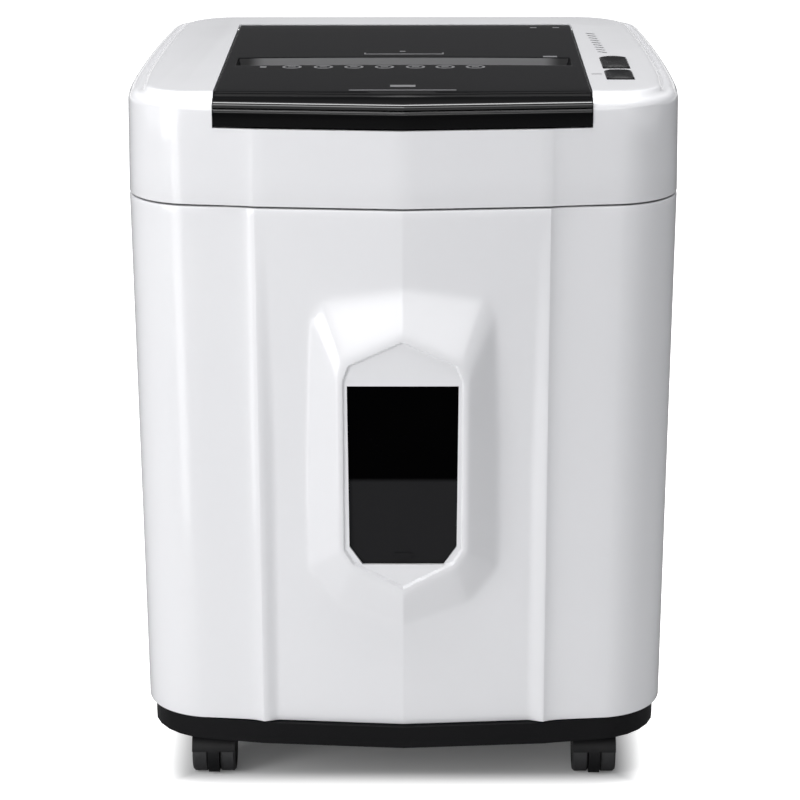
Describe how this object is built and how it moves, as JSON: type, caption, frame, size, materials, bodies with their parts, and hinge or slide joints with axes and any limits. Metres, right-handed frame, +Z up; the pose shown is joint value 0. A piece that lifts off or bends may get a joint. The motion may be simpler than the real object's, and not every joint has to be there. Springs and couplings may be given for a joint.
{
  "type": "paper shredder",
  "caption": "Upright auto-feed paper shredder with a hinged feed lid, a pull-out bin with a window, geared cutter stacks and swivel casters.",
  "frame": {"origin": "on the floor, under the middle of the whole shredder's box", "axes": "+X to the right seen from the front, +Y to the rear, +Z up; the bin window faces -Y"},
  "size_m": [0.376, 0.36, 0.5073],
  "materials": {
    "white_shell": "glossy moulded ABS",
    "lid_gloss": "high-gloss moulded ABS",
    "black_moulding": "fine-textured moulding",
    "smoked_pane": "smoked clear polycarbonate",
    "zinc_plate": "zinc-plated sheet steel",
    "hard_steel": "hardened and oiled",
    "bright_steel": "bright zinc",
    "motor_can": "black-grey lacquer",
    "bronze": "sintered bronze",
    "nylon": "natural nylon",
    "grip_rubber": "soft grooved rubber",
    "wheel_tread": "hard black tread",
    "board": "green solder mask",
    "rocker_red": "glossy"
  },
  "bodies": {
    "root": {"base_tray": "black_moulding", "cabinet_shell": "white_shell", "bin_runners": "zinc_plate", "caster_plates": "zinc_plate", "housing_screws": "bright_steel", "head_shell": "white_shell", "head_chassis": "black_moulding", "paper_tray": "black_moulding", "side_plate_left": "zinc_plate", "side_plate_right": "zinc_plate", "tie_bars": "zinc_plate", "cutter_bushes": "bronze", "comb_front": "nylon", "comb_rear": "nylon", "motor": "motor_can", "gear_plate": "zinc_plate", "control_board": "board", "power_inlet": "black_moulding", "lid_pins": "bright_steel", "latch_body": "black_moulding"},
    "bin": {"bin_front": "white_shell", "bin_window": "smoked_pane", "bin_tub": "black_moulding"},
    "lid": {"lid_cover": "lid_gloss", "lid_liner": "black_moulding"},
    "presser_front": {"presser_front": "black_moulding"},
    "presser_rear": {"presser_rear": "black_moulding"},
    "latch_plunger": {"latch_plunger": "bright_steel"},
    "key_rear": {"key_rear": "lid_gloss"},
    "key_front": {"key_front": "lid_gloss"},
    "power_rocker": {"power_rocker": "rocker_red"},
    "cutter_rear": {"cutter_shaft_rear": "hard_steel", "cutter_discs_rear": "hard_steel", "sync_gear_rear": "hard_steel", "drive_gear": "hard_steel"},
    "cutter_front": {"cutter_shaft_front": "hard_steel", "cutter_discs_front": "hard_steel", "sync_gear_front": "hard_steel"},
    "second_gear": {"second_gear": "hard_steel"},
    "first_gear": {"first_gear": "nylon"},
    "motor_shaft": {"motor_shaft": "hard_steel", "cooling_fan": "black_moulding"},
    "idler_rear": {"idler_rear": "nylon"},
    "idler_front": {"idler_front": "nylon"},
    "feed_rear": {"feed_shaft_rear": "hard_steel", "feed_tyres_rear": "grip_rubber", "feed_gear_rear": "nylon"},
    "feed_front": {"feed_shaft_front": "hard_steel", "feed_tyres_front": "grip_rubber", "feed_gear_front": "nylon"},
    "fork_fl": {"caster_fork_fl": "black_moulding"},
    "wheel_fl": {"caster_wheel_fl": "wheel_tread"},
    "fork_fr": {"caster_fork_fr": "black_moulding"},
    "wheel_fr": {"caster_wheel_fr": "wheel_tread"},
    "fork_rl": {"caster_fork_rl": "black_moulding"},
    "wheel_rl": {"caster_wheel_rl": "wheel_tread"},
    "fork_rr": {"caster_fork_rr": "black_moulding"},
    "wheel_rr": {"caster_wheel_rr": "wheel_tread"}
  },
  "joints": [
    {"name": "bin_slide", "type": "slide", "parent": "root", "child": "bin", "axis": [0, -1, 0], "range_m": [0, 0.26]},
    {"name": "lid_hinge", "type": "hinge", "parent": "root", "child": "lid", "pos_m": [0, 0.124, 0.5025], "axis": [-1, 0, 0], "range_deg": [0, 78]},
    {"name": "presser_front_lift", "type": "slide", "parent": "lid", "child": "presser_front", "axis": [0, 0, 1], "range_m": [0, 0.007], "stiffness_N_per_m": 80, "springref_m": -0.012},
    {"name": "presser_rear_lift", "type": "slide", "parent": "lid", "child": "presser_rear", "axis": [0, 0, 1], "range_m": [0, 0.007], "stiffness_N_per_m": 80, "springref_m": -0.012},
    {"name": "latch_press", "type": "slide", "parent": "root", "child": "latch_plunger", "axis": [0, 0, -1], "range_m": [0, 0.003], "stiffness_N_per_m": 300, "springref_m": -0.002},
    {"name": "key_rear_press", "type": "slide", "parent": "root", "child": "key_rear", "axis": [0, 0, -1], "range_m": [0, 0.0015], "stiffness_N_per_m": 400, "springref_m": -0.001},
    {"name": "key_front_press", "type": "slide", "parent": "root", "child": "key_front", "axis": [0, 0, -1], "range_m": [0, 0.0015], "stiffness_N_per_m": 400, "springref_m": -0.001},
    {"name": "power_rock", "type": "hinge", "parent": "root", "child": "power_rocker", "pos_m": [0.091, 0.1745, 0.4625], "axis": [1, 0, 0], "range_deg": [-18, 0]},
    {"name": "cutter_rear_spin", "type": "hinge", "parent": "root", "child": "cutter_rear", "pos_m": [0, -0.0165, 0.44], "axis": [1, 0, 0], "continuous": true},
    {"name": "cutter_front_spin", "type": "hinge", "parent": "root", "child": "cutter_front", "pos_m": [0, -0.0515, 0.44], "axis": [1, 0, 0], "continuous": true},
    {"name": "second_gear_spin", "type": "hinge", "parent": "root", "child": "second_gear", "pos_m": [0, 0.02865, 0.43122], "axis": [1, 0, 0], "continuous": true},
    {"name": "first_gear_spin", "type": "hinge", "parent": "root", "child": "first_gear", "pos_m": [0, 0.07521, 0.43927], "axis": [1, 0, 0], "continuous": true},
    {"name": "motor_shaft_spin", "type": "hinge", "parent": "root", "child": "motor_shaft", "pos_m": [0, 0.11, 0.43], "axis": [1, 0, 0], "continuous": true},
    {"name": "idler_rear_spin", "type": "hinge", "parent": "root", "child": "idler_rear", "pos_m": [0, 0.01313, 0.42931], "axis": [1, 0, 0], "continuous": true},
    {"name": "idler_front_spin", "type": "hinge", "parent": "root", "child": "idler_front", "pos_m": [0, -0.08113, 0.42931], "axis": [1, 0, 0], "continuous": true},
    {"name": "feed_rear_spin", "type": "hinge", "parent": "root", "child": "feed_rear", "pos_m": [0, 0.024, 0.457], "axis": [1, 0, 0], "continuous": true},
    {"name": "feed_front_spin", "type": "hinge", "parent": "root", "child": "feed_front", "pos_m": [0, -0.092, 0.457], "axis": [1, 0, 0], "continuous": true},
    {"name": "swivel_fl", "type": "hinge", "parent": "root", "child": "fork_fl", "pos_m": [-0.138, -0.11, 0.0395], "axis": [0, 0, 1], "continuous": true},
    {"name": "wheel_fl_spin", "type": "hinge", "parent": "fork_fl", "child": "wheel_fl", "pos_m": [-0.138, -0.121, 0.0175], "axis": [1, 0, 0], "continuous": true},
    {"name": "swivel_fr", "type": "hinge", "parent": "root", "child": "fork_fr", "pos_m": [0.138, -0.11, 0.0395], "axis": [0, 0, 1], "continuous": true},
    {"name": "wheel_fr_spin", "type": "hinge", "parent": "fork_fr", "child": "wheel_fr", "pos_m": [0.138, -0.121, 0.0175], "axis": [1, 0, 0], "continuous": true},
    {"name": "swivel_rl", "type": "hinge", "parent": "root", "child": "fork_rl", "pos_m": [-0.138, 0.11, 0.0395], "axis": [0, 0, 1], "continuous": true},
    {"name": "wheel_rl_spin", "type": "hinge", "parent": "fork_rl", "child": "wheel_rl", "pos_m": [-0.138, 0.099, 0.0175], "axis": [1, 0, 0], "continuous": true},
    {"name": "swivel_rr", "type": "hinge", "parent": "root", "child": "fork_rr", "pos_m": [0.138, 0.11, 0.0395], "axis": [0, 0, 1], "continuous": true},
    {"name": "wheel_rr_spin", "type": "hinge", "parent": "fork_rr", "child": "wheel_rr", "pos_m": [0.138, 0.099, 0.0175], "axis": [1, 0, 0], "continuous": true}
  ],
  "couplings": [
    {"joint": "cutter_front_spin", "follows": "cutter_rear_spin", "ratio": -1},
    {"joint": "second_gear_spin", "follows": "cutter_rear_spin", "ratio": -2.2857},
    {"joint": "first_gear_spin", "follows": "cutter_rear_spin", "ratio": 7.3143},
    {"joint": "motor_shaft_spin", "follows": "cutter_rear_spin", "ratio": -30.302},
    {"joint": "idler_rear_spin", "follows": "cutter_rear_spin", "ratio": -1.25},
    {"joint": "idler_front_spin", "follows": "cutter_rear_spin", "ratio": 1.25},
    {"joint": "feed_rear_spin", "follows": "cutter_rear_spin", "ratio": 1.1111},
    {"joint": "feed_front_spin", "follows": "cutter_rear_spin", "ratio": -1.1111}
  ]
}
